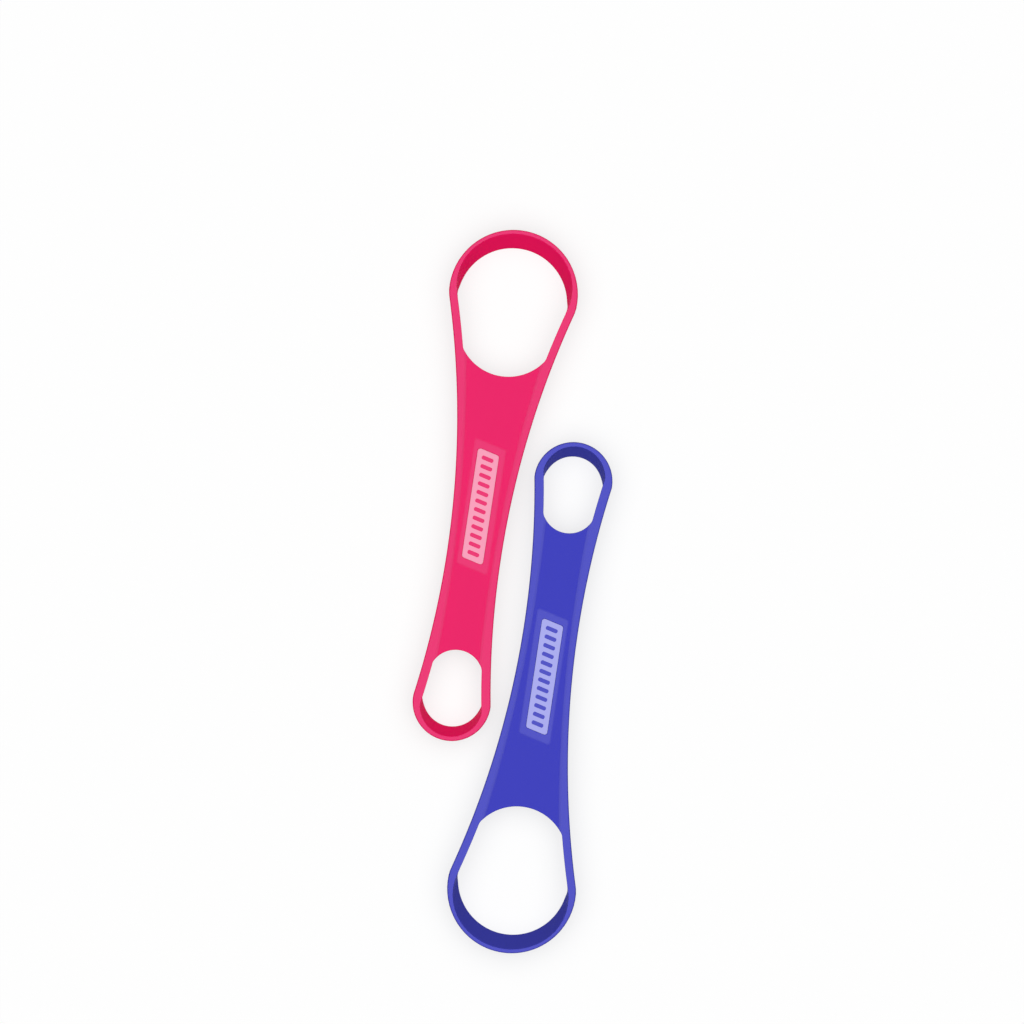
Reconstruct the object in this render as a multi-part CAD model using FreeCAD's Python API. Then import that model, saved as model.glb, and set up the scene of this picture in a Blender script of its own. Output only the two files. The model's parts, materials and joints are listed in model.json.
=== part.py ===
"""A pair of moulded tongue scrapers, each with a large and a small scraping loop and a pale panel on its handle.

Each scraper is drawn in its own frame: +Y along the handle to the large loop, +X across, +Z up, with the scraping
edges on Z = 0 and the middle of its length at the origin. The pair then lies side by side, one turned end for end,
about an origin at the middle of the pair on the surface that the edges rest on.
"""
import FreeCAD, Part
import math
import os
from collections import namedtuple

from FreeCAD import Placement, Rotation, Vector

# Driving dimensions of one scraper, in millimetres and degrees
LENGTH = 120.0
WAIST_WIDTH = 12.65
WAIST_TO_SMALL_TIP = 43.0
RIM_HEIGHT = 3.2
WEB_THICKNESS = 2.4
RIM_WIDTH = 1.0
FIELD_BEVEL = 0.8
FIELD_SEAM = 0.15
LIP_DROP = 2.0
LIP_LAND = 0.6
LIP_ROOT = 1.2
EDGE_ROUND = 0.4
EDGE_CHAMFER = 0.3

# The large loop
BIG_RADIUS = 15.0
BIG_WALL = 1.98
BIG_SHOULDER_DROP = 1.9
BIG_SHOULDER_ROUND = 3.0
BIG_TIP_RIM = 0.9
BIG_CORNER_CENTRE = 2.8
BIG_LIP_REACH = 3.39
BIG_TOP_FLATNESS = 1.35
BIG_EDGE_FLATNESS = 0.3
BIG_LIP_FADE = 7.0
BIG_WEB_TO_TIP = 34.25
BIG_WEB_RISE = 5.14

# The small loop
SMALL_RADIUS = 9.1
SMALL_WALL = 2.2
SMALL_SHOULDER_DROP = 0.3
SMALL_SHOULDER_ROUND = 3.0
SMALL_TIP_RIM = 1.0
SMALL_CORNER_CENTRE = 4.7
SMALL_LIP_REACH = 2.4
SMALL_TOP_FLATNESS = 0.25
SMALL_EDGE_FLATNESS = 0.13
SMALL_LIP_FADE = 4.0
SMALL_WEB_TO_TIP = 21.28
SMALL_WEB_RISE = 3.63

# The corners where the web's ends meet the loops
CORNER_ROUND = 2.5

# The raised pad and the panel set into it
PAD_TO_BIG_WEB = 15.7
PAD_TO_SMALL_WEB = 18.82
PAD_SIDE_GAP = 0.475
PAD_HEIGHT = 0.25
PAD_SLOPE = 0.6
PAD_SLANT = 14.0
PAD_CORNER = 0.6
PANEL_SIDE_MARGIN = 1.44
PANEL_END_MARGIN = 2.05
PANEL_SHIFT = 0.2
PANEL_POCKET = 0.15
PANEL_THICKNESS = 0.25
PANEL_CLEARANCE = 0.05
PANEL_CORNER = 0.7

# How the pair lies
PAIR_GAP = 3.86
PAIR_STAGGER = 46.8

# Overlap that lets a cut pass cleanly through a face, and how level an edge has to be
PASS = 0.5
LEVEL = 1e-6

Circle = namedtuple("Circle", "x y r")
Loop = namedtuple("Loop", "sign rim shoulder round lip_top lip_edge fade web corner corner_centre")

# Heights above the scraping edges, and where the handle is narrowest
TOP = LIP_DROP + RIM_HEIGHT
WEB_TOP = LIP_DROP + (RIM_HEIGHT + WEB_THICKNESS) / 2
WEB_BOTTOM = WEB_TOP - WEB_THICKNESS
PAD_TOP = WEB_TOP + PAD_HEIGHT
WAIST_Y = WAIST_TO_SMALL_TIP - LENGTH / 2


def circle_through(a, b, c):
    """The circle through three points of the plan."""
    curve = Part.Circle(a, b, c)
    return Circle(curve.Center.x, curve.Center.y, curve.Radius)


def mirrored(point):
    """The same point on the left of the axis."""
    return Vector(-point.x, point.y, point.z)


def side_point(side, y):
    """The point at y of a side circle, whose centre lies far out on the right."""
    return Vector(side.x - math.sqrt(side.r ** 2 - (y - side.y) ** 2), y, 0.0)


def loop_outline(sign, radius, drop):
    """The outline circle of a loop, and the shoulder on its right where the side of the handle begins."""
    rim = Circle(0.0, sign * (LENGTH / 2 - radius), radius)
    return rim, Vector(math.sqrt(radius ** 2 - drop ** 2), rim.y - sign * drop, 0.0)


BIG_RIM, BIG_SHOULDER = loop_outline(1, BIG_RADIUS, BIG_SHOULDER_DROP)
SMALL_RIM, SMALL_SHOULDER = loop_outline(-1, SMALL_RADIUS, SMALL_SHOULDER_DROP)
OUTER_SIDE = circle_through(BIG_SHOULDER, Vector(WAIST_WIDTH / 2, WAIST_Y, 0.0), SMALL_SHOULDER)
INNER_SIDE = circle_through(BIG_SHOULDER - Vector(BIG_WALL, 0.0, 0.0),
                            Vector((WAIST_WIDTH - BIG_WALL - SMALL_WALL) / 2, WAIST_Y, 0.0),
                            SMALL_SHOULDER - Vector(SMALL_WALL, 0.0, 0.0))


def lip_circle(sign, inset, flatness):
    """A circle that ends inset in from the tip: the one that just touches both inner sides, made flatter."""
    tip = sign * (LENGTH / 2 - inset)
    rise = tip - INNER_SIDE.y
    touching = (INNER_SIDE.x ** 2 + rise ** 2 - INNER_SIDE.r ** 2) / (2 * (INNER_SIDE.r + sign * rise))
    radius = touching + flatness
    return Circle(0.0, tip - sign * radius, radius)


def make_loop(sign, outline, rounding, tip_rim, corner_centre, reach, flatness, fade, web_to_tip, web_rise):
    """The circles of one loop: its outline, the top and the edge of its lip, and the end of the web."""
    top_flatness, edge_flatness = flatness
    lip_top = lip_circle(sign, tip_rim, top_flatness)
    lip_edge = lip_circle(sign, tip_rim + reach, edge_flatness)
    web_end = Vector(0.0, sign * (LENGTH / 2 - web_to_tip), 0.0)
    corner = side_point(INNER_SIDE, web_end.y + sign * web_rise)
    web = circle_through(mirrored(corner), web_end, corner)
    return Loop(sign, *outline, rounding, lip_top, lip_edge, fade, web, corner, corner_centre)


BIG = make_loop(1, (BIG_RIM, BIG_SHOULDER), BIG_SHOULDER_ROUND, BIG_TIP_RIM, BIG_CORNER_CENTRE, BIG_LIP_REACH,
                (BIG_TOP_FLATNESS, BIG_EDGE_FLATNESS), BIG_LIP_FADE, BIG_WEB_TO_TIP, BIG_WEB_RISE)
SMALL = make_loop(-1, (SMALL_RIM, SMALL_SHOULDER), SMALL_SHOULDER_ROUND, SMALL_TIP_RIM, SMALL_CORNER_CENTRE,
                  SMALL_LIP_REACH, (SMALL_TOP_FLATNESS, SMALL_EDGE_FLATNESS), SMALL_LIP_FADE, SMALL_WEB_TO_TIP,
                  SMALL_WEB_RISE)


def crossing(a, b, sign):
    """Where two circles cross, on the right, at the end that sign points to."""
    gap = math.hypot(b.x - a.x, b.y - a.y)
    along = (gap ** 2 + a.r ** 2 - b.r ** 2) / (2 * gap)
    off = math.sqrt(a.r ** 2 - along ** 2)
    ux, uy = (b.x - a.x) / gap, (b.y - a.y) / gap
    return Vector(a.x + along * ux - sign * off * uy, a.y + along * uy + sign * off * ux, 0.0)


def on_circle(circle, toward):
    """The point of a circle in the direction of another point."""
    centre = Vector(circle.x, circle.y, 0.0)
    return centre + (toward - centre).normalize() * circle.r


def short_arc(circle, start, end):
    """The edge from start to end along a circle, the short way."""
    return Part.Arc(start, on_circle(circle, (start + end) * 0.5), end).toShape()


def closed_plan(upper, lower, side, upper_round, lower_round, z):
    """A closed wire of two end circles joined by two side arcs, with its four corners rounded."""
    ends = []
    for end, rounding, sign in ((upper, upper_round, 1), (lower, lower_round, -1)):
        inner = Circle(end.x, end.y, end.r - rounding)
        outer = Circle(side.x, side.y, side.r + rounding)
        centre = crossing(inner, outer, sign)
        ball = Circle(centre.x, centre.y, rounding)
        tip = Vector(0.0, end.y + sign * end.r, 0.0)
        ends.append((ball, on_circle(end, centre), on_circle(side, centre), tip))
    (ball_up, up_end, up_side, up_tip), (ball_low, low_end, low_side, low_tip) = ends
    left_up = Circle(-ball_up.x, ball_up.y, ball_up.r)
    left_low = Circle(-ball_low.x, ball_low.y, ball_low.r)
    left_side = Circle(-side.x, side.y, side.r)
    edges = [
        Part.Arc(up_end, up_tip, mirrored(up_end)).toShape(),
        short_arc(left_up, mirrored(up_end), mirrored(up_side)),
        short_arc(left_side, mirrored(up_side), mirrored(low_side)),
        short_arc(left_low, mirrored(low_side), mirrored(low_end)),
        Part.Arc(mirrored(low_end), low_tip, low_end).toShape(),
        short_arc(ball_low, low_end, low_side),
        short_arc(side, low_side, up_side),
        short_arc(ball_up, up_side, up_end),
    ]
    wire = Part.Wire(edges)
    wire.translate(Vector(0.0, 0.0, z))
    return wire


def level_edges(solid, z):
    """The edges of a solid that lie flat at height z."""
    return [e for e in solid.Edges if e.BoundBox.ZLength < LEVEL and abs(e.BoundBox.ZMin - z) < LEVEL]


def level_circle(loop, z):
    """The circle that the inner face of a loop's lip follows at height z."""
    share = z / TOP
    low, high = loop.lip_edge, loop.lip_top
    return Circle(0.0, low.y + (high.y - low.y) * share, low.r + (high.r - low.r) * share)


def outline_plate(inset, z, height):
    """A plate of the whole outline, drawn in all round by inset."""
    upper = Circle(0.0, BIG.rim.y, BIG.rim.r - inset)
    lower = Circle(0.0, SMALL.rim.y, SMALL.rim.r - inset)
    side = Circle(OUTER_SIDE.x, OUTER_SIDE.y, OUTER_SIDE.r + inset)
    wire = closed_plan(upper, lower, side, BIG.round - inset, SMALL.round - inset, z)
    return Part.Face(wire).extrude(Vector(0.0, 0.0, height))


def rim_plate():
    """The whole outline at the height of the rims, its outer edge rounded above and chamfered below."""
    plate = outline_plate(0.0, LIP_DROP, RIM_HEIGHT)
    plate = plate.makeFillet(EDGE_ROUND, level_edges(plate, TOP))
    return plate.makeChamfer(EDGE_CHAMFER, level_edges(plate, LIP_DROP))


def lip(loop):
    """The blade under a loop's tip: a leaning cone that dies out along both sides, within the rim's underside."""
    high = LIP_DROP + PASS
    wires = []
    for z in (-PASS, high):
        inner = level_circle(loop, z)
        wall = LIP_LAND + (LIP_ROOT - LIP_LAND) * z / LIP_DROP
        place = Vector(0.0, inner.y, z)
        wires.append(Part.Wire(Part.makeCircle(inner.r + wall, place)))
    cone = Part.makeLoft(wires, True, True)

    start = loop.shoulder.y
    bottom = start + loop.sign * loop.fade
    past_tip = loop.sign * (LENGTH / 2 + PASS)
    reach = (loop.fade ** 2 + LIP_DROP ** 2) / (2 * LIP_DROP)
    half = math.atan2(LIP_DROP, loop.fade)
    middle = Vector(0.0, bottom - loop.sign * reach * math.sin(half), reach * (1 - math.cos(half)))
    corners = [Vector(0.0, bottom, 0.0), Vector(0.0, past_tip, 0.0), Vector(0.0, past_tip, high),
               Vector(0.0, start, high), Vector(0.0, start, LIP_DROP)]
    edges = [Part.makeLine(a, b) for a, b in zip(corners, corners[1:])]
    edges.append(Part.Arc(corners[-1], middle, corners[0]).toShape())
    profile = Part.Face(Part.Wire(edges))
    profile.translate(Vector(-loop.rim.r, 0.0, 0.0))
    blade = cone.common(profile.extrude(Vector(2 * loop.rim.r, 0.0, 0.0)))
    return blade.common(outline_plate(EDGE_CHAMFER, 0.0, high))


def opening(loop):
    """The hole through a loop: upright walls, and a tip that leans in from the rim down to the scraping edge.

    The rounding of its corners at the tip follows from where their centres lie in the tip's circle.
    """
    wires = []
    for z in (-PASS, TOP + PASS):
        tip = level_circle(loop, z)
        ends = ((tip, tip.r - loop.corner_centre), (loop.web, CORNER_ROUND))
        (upper, upper_round), (lower, lower_round) = ends if loop.sign > 0 else reversed(ends)
        wires.append(closed_plan(upper, lower, INNER_SIDE, upper_round, lower_round, z))
    return Part.makeLoft(wires, True, True)


def field_side(inset):
    """The side circle of the recessed field: through the corners of both openings, narrower by inset."""
    waist = Vector(WAIST_WIDTH / 2 - RIM_WIDTH, WAIST_Y, 0.0)
    step = Vector(inset, 0.0, 0.0)
    return circle_through(BIG.corner - step, waist - step, SMALL.corner - step)


def field_wire(inset, z):
    """The closed edge of the recess at height z: two long arcs that run out into the openings."""
    side = field_side(inset)
    left = Circle(-side.x, side.y, side.r)
    top_right = side_point(side, BIG.corner.y + PASS)
    low_right = side_point(side, SMALL.corner.y - PASS)
    edges = [
        short_arc(side, low_right, top_right),
        Part.makeLine(top_right, mirrored(top_right)),
        short_arc(left, mirrored(top_right), mirrored(low_right)),
        Part.makeLine(mirrored(low_right), low_right),
    ]
    wire = Part.Wire(edges)
    wire.translate(Vector(0.0, 0.0, z))
    return wire


def recess(floor, face):
    """The shallow recess between the rims, from the web's floor out past the rims' face."""
    rise = face - floor
    over = math.copysign(PASS, rise)
    slope = FIELD_BEVEL / abs(rise)
    floor_wire = field_wire(FIELD_SEAM + FIELD_BEVEL, floor)
    mouth_wire = field_wire(FIELD_SEAM - slope * PASS, face + over)
    return Part.makeLoft([floor_wire, mouth_wire], True, True)


def slanted_outline(width, low, high, z):
    """A closed outline with straight sides and slanted ends, on the axis of the handle."""
    half = width / 2
    lean = half * math.tan(math.radians(PAD_SLANT))
    points = [Vector(-half, low + lean, z), Vector(half, low - lean, z),
              Vector(half, high - lean, z), Vector(-half, high + lean, z)]
    return Part.makePolygon(points + points[:1])


def slanted(width, low, high, corner, z, height, slope=0.0):
    """A plate of a slanted outline with rounded corners, its sides drawn in by slope at the top."""
    base = slanted_outline(width, low, high, z)
    top = slanted_outline(width - 2 * slope, low + slope, high - slope, z + height)
    plate = Part.makeLoft([base, top], True, True)
    corners = [e for e in plate.Edges if abs(e.BoundBox.ZLength - height) < LEVEL]
    return plate.makeFillet(corner, corners)


PAD_WIDTH = WAIST_WIDTH - 2 * (RIM_WIDTH + FIELD_BEVEL + PAD_SIDE_GAP)
PAD_HIGH = LENGTH / 2 - BIG_WEB_TO_TIP - PAD_TO_BIG_WEB
PAD_LOW = SMALL_WEB_TO_TIP - LENGTH / 2 + PAD_TO_SMALL_WEB
PANEL_WIDTH = PAD_WIDTH - 2 * PANEL_SIDE_MARGIN
PANEL_HIGH = PAD_HIGH - PANEL_END_MARGIN
PANEL_LOW = PAD_LOW + PANEL_END_MARGIN


def panel_plate(inset, height):
    """A plate of the panel's outline drawn in all round by inset, standing on the floor of the pocket."""
    plate = slanted(PANEL_WIDTH - 2 * inset, PANEL_LOW + inset, PANEL_HIGH - inset, PANEL_CORNER - inset,
                    PAD_TOP - PANEL_POCKET, height)
    plate.translate(Vector(-PANEL_SHIFT, 0.0, 0.0))
    return plate


def pad():
    """The raised pad in the field, rooted in the web, with the shallow pocket for the panel."""
    root = PASS * PAD_SLOPE / PAD_HEIGHT
    block = slanted(PAD_WIDTH + 2 * root, PAD_LOW - root, PAD_HIGH + root, PAD_CORNER, WEB_TOP - PASS,
                    PAD_HEIGHT + PASS, PAD_SLOPE + root)
    return block.cut(panel_plate(0.0, PANEL_POCKET + PASS))


def panel():
    """The pale panel, seated on the floor of its pocket with a small gap all round."""
    return panel_plate(PANEL_CLEARANCE, PANEL_THICKNESS)


def scraper():
    """One scraper: rims, web, pad and both lips in a single moulding."""
    body = rim_plate()
    body = body.cut([recess(WEB_TOP, TOP), recess(WEB_BOTTOM, LIP_DROP)])
    body = body.fuse([lip(BIG), lip(SMALL), pad()])
    body = body.cut([opening(BIG), opening(SMALL)])
    return body.removeSplitter().Solids[0]


def pair_places():
    """Where the two scrapers lie: side by side, the second turned end for end."""
    beside = PAIR_STAGGER + SMALL.rim.y
    across = SMALL_RADIUS + side_point(OUTER_SIDE, -beside).x + PAIR_GAP
    offset = Vector(-across / 2, PAIR_STAGGER / 2, 0.0)
    turned = Rotation(Vector(0.0, 0.0, 1.0), 180.0)
    return {"pink": Placement(offset, Rotation()), "blue": Placement(offset * -1.0, turned)}


def main():
    """Writes each piece of the pair to its own file."""
    os.makedirs("parts", exist_ok=True)
    pieces = {"scraper": scraper(), "label": panel()}
    for colour, place in pair_places().items():
        for name, shape in pieces.items():
            laid = shape.copy()
            laid.Placement = place * shape.Placement
            laid.exportStep(f"parts/{colour}_{name}.step")
            box = laid.optimalBoundingBox()
            size = [round(side, 2) for side in (box.XLength, box.YLength, box.ZLength)]
            print(colour, name, "valid" if laid.isValid() else "broken", size, round(laid.Volume, 1))


main()
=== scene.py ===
"""Dresses a pair of moulded tongue scrapers: smooth mouldings, pale panels, finishes, light and camera.

A point of the plan is a complex number, x + iy. Each scraper is drawn in its own frame, with +Y along the
handle to the large loop and the scraping edges on Z = 0, and is then laid where the frame has it.
"""

import cmath
import json
import math
from collections import namedtuple

import bmesh
import bpy
from bpy.props import FloatProperty, FloatVectorProperty, IntProperty, PointerProperty
from bpy.types import Operator, Panel, PropertyGroup
from mathutils import Matrix, Vector

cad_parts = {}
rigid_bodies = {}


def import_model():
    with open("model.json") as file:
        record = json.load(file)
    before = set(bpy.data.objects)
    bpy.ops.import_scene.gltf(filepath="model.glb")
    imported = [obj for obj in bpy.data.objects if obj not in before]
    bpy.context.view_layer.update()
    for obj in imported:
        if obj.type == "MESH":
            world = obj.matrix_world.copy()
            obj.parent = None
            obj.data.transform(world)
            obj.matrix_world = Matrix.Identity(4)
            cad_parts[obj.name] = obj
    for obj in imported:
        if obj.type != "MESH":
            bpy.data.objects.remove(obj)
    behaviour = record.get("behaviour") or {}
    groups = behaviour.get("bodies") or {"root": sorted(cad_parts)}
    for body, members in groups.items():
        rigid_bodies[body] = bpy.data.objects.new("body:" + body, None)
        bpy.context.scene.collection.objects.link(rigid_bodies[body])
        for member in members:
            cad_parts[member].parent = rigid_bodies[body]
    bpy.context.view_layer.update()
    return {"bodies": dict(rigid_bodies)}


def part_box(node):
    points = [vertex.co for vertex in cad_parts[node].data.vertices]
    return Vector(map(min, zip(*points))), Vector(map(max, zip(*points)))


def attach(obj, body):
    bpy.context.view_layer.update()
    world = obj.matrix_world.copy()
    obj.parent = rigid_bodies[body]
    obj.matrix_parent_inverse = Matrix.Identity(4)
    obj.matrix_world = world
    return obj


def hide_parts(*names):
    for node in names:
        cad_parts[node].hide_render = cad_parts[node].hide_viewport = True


bl_info = {
    "name": "Tongue scraper pair",
    "version": (1, 0, 0),
    "blender": (4, 5, 0),
    "location": "View3D > Sidebar > Scrapers",
    "description": "Builds a pair of moulded tongue scrapers with their panels, finishes, light and camera",
    "category": "Object",
}

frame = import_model()
MM = 0.001
# Each scraper is a body of its own, named for its colour: pink and blue
COLOURS = tuple(frame["bodies"])
PINK_LOW, PINK_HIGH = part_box("pink_scraper")
SCRAPER_LENGTH = (PINK_HIGH.y - PINK_LOW.y) / MM
SCRAPER_TOP = PINK_HIGH.z / MM


def size(name, description, millimetres):
    """A length that a user may change, given in millimetres."""
    return FloatProperty(name=name, description=description, default=millimetres * MM, unit="LENGTH",
                         precision=5)


def turning(name, description, degrees):
    """An angle that a user may change, given in degrees."""
    return FloatProperty(name=name, description=description, default=math.radians(degrees), subtype="ANGLE")


def tint(name, description, default):
    """A colour that a user may change."""
    return FloatVectorProperty(name=name, description=description, default=default, subtype="COLOR", size=3,
                               min=0.0, max=1.0)


def mesh_steps(name, description, default):
    """A number of mesh steps that a user may change."""
    return IntProperty(name=name, description=description, default=default, min=8)


# Sizes that both loops have: name, description, and the millimetres of the large loop and of the small one
LOOP_SIZES = {
    "radius": ("Radius", "Radius of the loop's outline", 15.0, 9.1),
    "wall": ("Wall", "Width of the loop's side at the shoulder", 1.98, 2.2),
    "shoulder_drop": ("Shoulder drop", "From the loop's middle down to where its outline meets the handle",
                      1.9, 0.3),
    "tip_rim": ("Tip rim", "Width of the rim at the tip", 0.9, 1.0),
    "corner_centre": ("Corner centre", "From the centre of the tip's circle to that of its corners' rounding",
                      2.8, 4.7),
    "lip_reach": ("Lip reach", "How far the lip leans in from the rim to its edge", 3.39, 2.4),
    "top_flatness": ("Top flatness", "How much flatter than the sides' own circle the rim's inner arc is",
                     1.35, 0.25),
    "edge_flatness": ("Edge flatness", "How much flatter than the sides' own circle the lip's edge is",
                      0.3, 0.13),
    "lip_fade": ("Lip fade", "Length over which the lip dies out into the rim", 7.0, 4.0),
    "web_to_tip": ("Web to tip", "From the end of the web to the tip", 34.25, 21.28),
    "web_rise": ("Web rise", "How far the web's corners stand beyond its middle", 5.14, 3.63),
}


def loop_sizes(which, tip_steps):
    """The sizes of one loop that a user may change: which is 0 for the large loop and 1 for the small one."""
    sizes = {key: size(name, text, values[which]) for key, (name, text, *values) in LOOP_SIZES.items()}
    sizes["tip_steps"] = mesh_steps("Tip steps", "Mesh steps along half of the tip", tip_steps)
    return sizes


class LargeLoopSizes(PropertyGroup):
    """Sizes of the large scraping loop."""
    __annotations__ = loop_sizes(which=0, tip_steps=40)


class SmallLoopSizes(PropertyGroup):
    """Sizes of the small scraping loop."""
    __annotations__ = loop_sizes(which=1, tip_steps=28)


class HandleSizes(PropertyGroup):
    """Sizes of the handle, its rims and its web."""
    length: size("Length", "Length over both loops", SCRAPER_LENGTH)
    top: size("Top", "Height of the rims above the scraping edges", SCRAPER_TOP)
    waist_width: size("Waist width", "Width of the handle where it is narrowest", 12.65)
    waist_to_small_tip: size("Waist to small tip", "From the narrowest place to the small loop's tip", 43.0)
    lip_drop: size("Lip drop", "How far the lips reach below the rims", 2.0)
    web_thickness: size("Web thickness", "Thickness of the web between the rims", 2.4)
    shoulder_round: size("Shoulder round", "Rounding of the outline where handle and loop meet", 3.0)
    corner_round: size("Corner round", "Rounding of the openings' corners at the web", 2.5)
    rim_width: size("Rim width", "Width of the rims at the waist", 1.0)
    field_seam: size("Field seam", "How far the field's edge stands in from the openings' sides", 0.15)
    field_bevel: size("Field bevel", "Width of the slope from the rims down to the field", 0.8)
    lip_land: size("Lip land", "Thickness of the lips at their edges", 0.6)
    lip_root: size("Lip root", "Thickness of the lips at their roots", 1.2)
    slope_round: size("Slope round", "Rounding of the edges and feet of the slopes of field and pad", 0.5)
    edge_round: size("Edge round", "Rounding of the outer edge above", 0.4)
    under_round: size("Under round", "Rounding of the outer edge below", 0.3)
    soft_edge: size("Soft edge", "Small rounding of the moulding's inner edges", 0.12)
    parting_height: size("Parting height", "How far the mould's parting line stands out", 0.02)
    handle_steps: mesh_steps("Handle steps", "Mesh steps along the handle", 56)


class PanelSizes(PropertyGroup):
    """Sizes of the raised pad and the panel set into it."""
    to_large_web: size("To large web", "From the pad to the end of the web at the large loop", 15.7)
    to_small_web: size("To small web", "From the pad to the end of the web at the small loop", 18.82)
    side_gap: size("Side gap", "From the pad's sides to the slope of the rims at the waist", 0.475)
    height: size("Height", "Height of the pad above the web", 0.25)
    slope: size("Slope", "Width of the slope round the pad", 0.6)
    pad_corner: size("Pad corner", "Rounding of the pad's corners", 0.6)
    side_margin: size("Side margin", "From the panel to the pad's sides", 1.44)
    end_margin: size("End margin", "From the panel to the pad's ends", 2.05)
    shift: size("Shift", "How far the panel stands to the left of the handle's axis", 0.2)
    pocket: size("Pocket", "Depth of the pocket that the panel lies in", 0.15)
    thickness: size("Thickness", "Thickness of the panel", 0.25)
    clearance: size("Clearance", "Gap round the panel in its pocket", 0.05)
    corner: size("Corner", "Rounding of the panel's corners", 0.7)
    edge: size("Edge", "Rounding of the panel's upper edge", 0.08)
    slant: turning("Slant", "Slant of the ends of pad and panel", 14.0)


class BarSizes(PropertyGroup):
    """Sizes of the row of slanted bars on the panel."""
    count: IntProperty(name="Count", description="Number of bars in the row", default=12, min=2)
    row: size("Row", "Length of the row, from the first bar to the last", 22.2)
    span: size("Span", "Length of a bar across the panel", 2.9)
    width: size("Width", "Width of a bar", 0.94)
    rise: size("Rise", "How far a bar stands above the panel", 0.05)


class FinishColours(PropertyGroup):
    """Colours of the mouldings, the panels and the floor; the mouldings' rim tones hold a painted highlight
    and their wall tones painted shade.
    """
    pink_field: tint("Pink field", "The pink moulding between its rims", (0.825, 0.0090, 0.131))
    # The pink rim tone is the field's tone made lighter: a painted highlight on the level tops of rims and
    # pad
    pink_rim: tint("Pink rim", "The rims and the pad of the pink moulding", (0.805, 0.0106, 0.146))
    # The pink wall tone is the field's tone made deeper: painted shade on upright and leaning faces
    pink_wall: tint("Pink wall", "Upright and leaning walls of the pink moulding", (0.95, 0.0078, 0.124))
    pink_panel: tint("Pink panel", "The panel of the pink scraper", (0.95, 0.353, 0.502))
    blue_field: tint("Blue field", "The blue moulding between its rims", (0.0386, 0.0420, 0.494))
    # The blue rim tone is the field's tone made lighter: a painted highlight on the level tops of rims and
    # pad
    blue_rim: tint("Blue rim", "The rims and the pad of the blue moulding", (0.0508, 0.0554, 0.516))
    # The blue wall tone is the field's tone made darker: painted shade on upright and leaning faces
    blue_wall: tint("Blue wall", "Upright and leaning walls of the blue moulding", (0.0490, 0.0540, 0.415))
    blue_panel: tint("Blue panel", "The panel of the blue scraper", (0.405, 0.415, 0.861))
    floor: tint("Floor", "The floor under the pair, as it is seen", (0.96, 0.96, 0.96))
    bounce: tint("Bounce", "The floor as it throws light back at the pair", (0.30, 0.30, 0.30))


class StageSizes(PropertyGroup):
    """Camera, light and floor."""
    view_width: size("View width", "Width of what the camera takes in", 238.2)
    view_x: size("View X", "Middle of the view across the pair", -2.89)
    view_y: size("View Y", "Middle of the view along the pair", 18.29)
    view_turn: turning("View turn", "Turn of the camera about the upright", 8.6)
    lens: FloatProperty(name="Lens", description="Focal length of the camera", default=600.0, unit="CAMERA")
    floor_side: size("Floor side", "Side of the floor", 8000.0)
    floor_drop: size("Floor drop", "How far the floor lies below the scraping edges", 0.02)
    softbox_side: size("Softbox side", "Side of the overhead light", 5000.0)
    softbox_height: size("Softbox height", "Height of the overhead light", 1700.0)
    softbox_power: FloatProperty(name="Softbox power", description="Power of the overhead light",
                                 default=99.0, unit="POWER")
    sky: FloatProperty(name="Sky", description="Strength of the even light from all round", default=0.10,
                       min=0.0)


class PairSettings(PropertyGroup):
    """Everything that a user may change about the pair."""
    large: PointerProperty(type=LargeLoopSizes)
    small: PointerProperty(type=SmallLoopSizes)
    handle: PointerProperty(type=HandleSizes)
    panel: PointerProperty(type=PanelSizes)
    bars: PointerProperty(type=BarSizes)
    colours: PointerProperty(type=FinishColours)
    stage: PointerProperty(type=StageSizes)


# Plane geometry

Circle = namedtuple("Circle", "centre radius")
Plate = namedtuple("Plate", "middle width low high")
# A place along the edge of an opening: its stretch, how far along that, and the height of the edge there
Station = namedtuple("Station", "kind place high")

# Mesh steps along each stretch of an opening, each rounding, the outer edge, a wall and the underside
WEB_STEPS, CORNER_STEPS, SIDE_STEPS, BALL_STEPS = 16, 3, 14, 8
ROUND_STEPS, OUTER_STEPS, WALL_STEPS, UNDER_STEPS = 3, 6, 4, 8
# A strip as wide as SUPPORT beside a rounding keeps it crisp; points nearer than MERGE become one
SUPPORT = 0.04 * MM
MERGE = 0.0005 * MM
# Share of the flat underside of a rim that its even steps cover
UNDER_REACH = 0.8
# The lip's outer face: share of its height up to the neck, ends of its roundings, width of its root's one
NECK_SHARE = 0.75
ROUND_NEAR, ROUND_FAR = 0.3, 0.7
ROOT_ROUND = 2.2
GRAIN = "field_grain"


def mix(a, b, share):
    """The value that lies share of the way from a to b."""
    return a + (b - a) * share


def shares(steps):
    """Evenly spaced shares from 0 to 1."""
    return [step / steps for step in range(steps + 1)]


def on_circle(circle, angle, out=0.0):
    """The point of a circle at an angle, moved out from it by out."""
    return circle.centre + cmath.rect(circle.radius + out, angle)


def angle_of(circle, point):
    """The angle at which a point is seen from the middle of a circle."""
    return cmath.phase(point - circle.centre)


def grown(circle, by):
    """The same circle with a larger radius."""
    return Circle(circle.centre, circle.radius + by)


def circle_through(a, b, c):
    """The circle through three points."""
    ratio = (c - a) / (b - a)
    centre = a + (b - a) * (ratio - abs(ratio) ** 2) / (2j * ratio.imag)
    return Circle(centre, abs(a - centre))


def side_point(side, y):
    """The point at y of a side circle, whose centre lies far out on the right."""
    return complex(side.centre.real - math.sqrt(side.radius ** 2 - (y - side.centre.imag) ** 2), y)


def crossing(a, b, sign):
    """Where two circles cross: to the left of the line from a to b for sign 1, to the right for -1."""
    gap = abs(b.centre - a.centre)
    along = (gap ** 2 + a.radius ** 2 - b.radius ** 2) / (2 * gap)
    off = math.sqrt(a.radius ** 2 - along ** 2)
    return a.centre + (b.centre - a.centre) / gap * complex(along, sign * off)


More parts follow.
